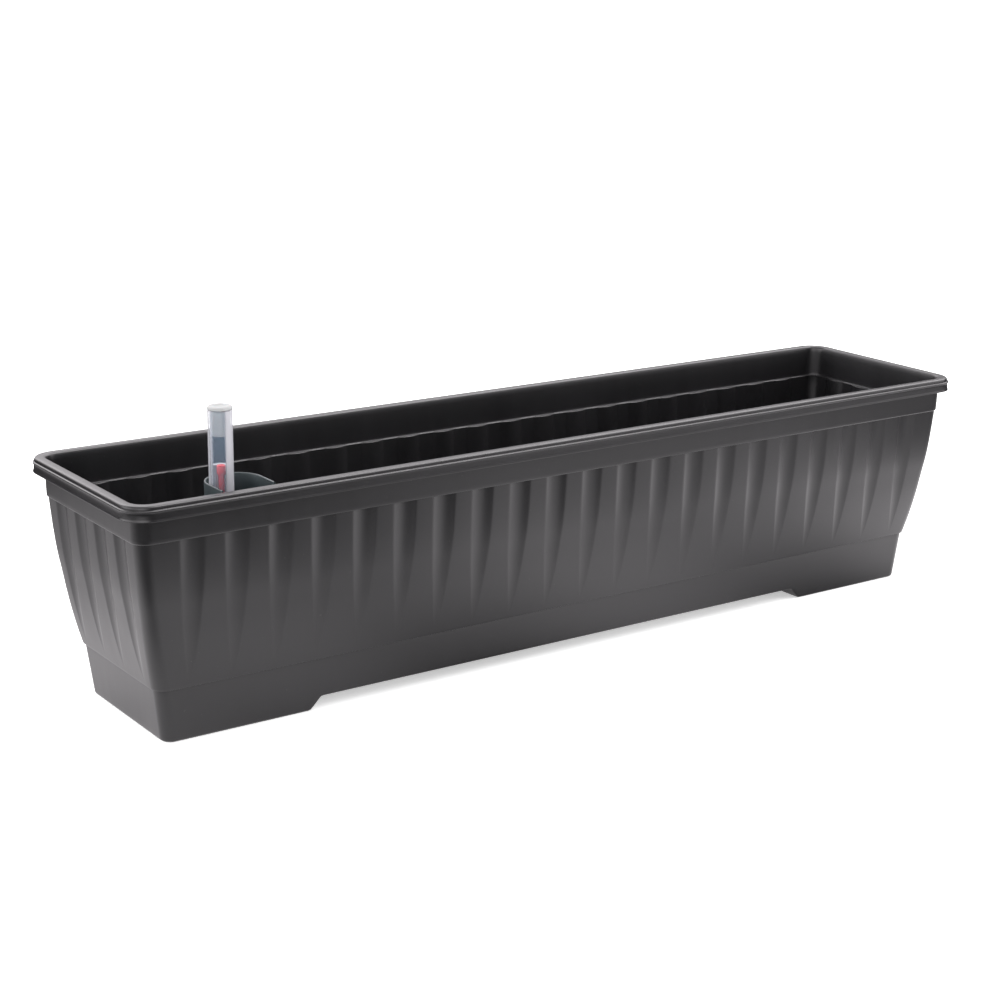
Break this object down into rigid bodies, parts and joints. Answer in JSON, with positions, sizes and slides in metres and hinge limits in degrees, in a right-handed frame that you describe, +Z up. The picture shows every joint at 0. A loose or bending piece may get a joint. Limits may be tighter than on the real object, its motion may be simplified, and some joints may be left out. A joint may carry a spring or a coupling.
{
  "type": "self watering planter",
  "caption": "Long fluted window-box planter with a rolled rim, end feet, a false floor over a water reservoir, a filler channel and a float water gauge.",
  "frame": {"origin": "bottom centre of the trough, on the plane of its two end feet", "axes": "+X along the length, away from the gauge end; +Y across the width, away from the wall the filler channel stands against; +Z up"},
  "size_m": [0.8, 0.1836, 0.2392],
  "materials": {
    "trough_plastic": "anthracite polypropylene, satin sheen",
    "insert_plastic": "black polypropylene, matt",
    "channel_plastic": "thin grey-green polypropylene, satin",
    "gauge_clear": "clear, slightly cloudy extruded tube",
    "gauge_frosted": "natural translucent plastic",
    "cap_white": "white polyethylene, soft gloss",
    "signal_red": "red, satin",
    "float_foam": "closed-cell foam",
    "wick_felt": "synthetic felt",
    "plug_rubber": "black elastomer"
  },
  "bodies": {
    "trough": {"trough": "trough_plastic"},
    "floor_left": {"false_floor_left": "insert_plastic", "wick_left_outer": "wick_felt", "wick_left_inner": "wick_felt"},
    "floor_right": {"false_floor_right": "insert_plastic", "wick_right_inner": "wick_felt", "wick_right_outer": "wick_felt"},
    "channel": {"filler_channel": "channel_plastic"},
    "gauge": {"gauge_tube": "gauge_clear", "gauge_sleeve": "gauge_frosted", "gauge_foot": "cap_white"},
    "cap": {"gauge_cap": "cap_white"},
    "float": {"indicator_pin": "signal_red", "gauge_float": "float_foam"},
    "plug_left": {"drain_plug_left": "plug_rubber", "plug_seal_left": "plug_rubber"},
    "plug_right": {"drain_plug_right": "plug_rubber", "plug_seal_right": "plug_rubber"}
  },
  "joints": [
    {"name": "floor_left_lift", "type": "slide", "parent": "trough", "child": "floor_left", "axis": [0, 0, 1], "range_m": [0, 0.12]},
    {"name": "floor_right_lift", "type": "slide", "parent": "trough", "child": "floor_right", "axis": [0, 0, 1], "range_m": [0, 0.12]},
    {"name": "channel_lift", "type": "slide", "parent": "floor_left", "child": "channel", "axis": [0, 0, 1], "range_m": [0, 0.05]},
    {"name": "gauge_lift", "type": "slide", "parent": "floor_left", "child": "gauge", "axis": [0, 0, 1], "range_m": [0, 0.1]},
    {"name": "cap_pull", "type": "slide", "parent": "gauge", "child": "cap", "axis": [0, 0, 1], "range_m": [0, 0.03]},
    {"name": "float_rise", "type": "slide", "parent": "gauge", "child": "float", "axis": [0, 0, 1], "range_m": [0, 0.021]},
    {"name": "plug_left_pull", "type": "slide", "parent": "trough", "child": "plug_left", "axis": [0, 0, 1], "range_m": [0, 0.015]},
    {"name": "plug_right_pull", "type": "slide", "parent": "trough", "child": "plug_right", "axis": [0, 0, 1], "range_m": [0, 0.015]}
  ]
}
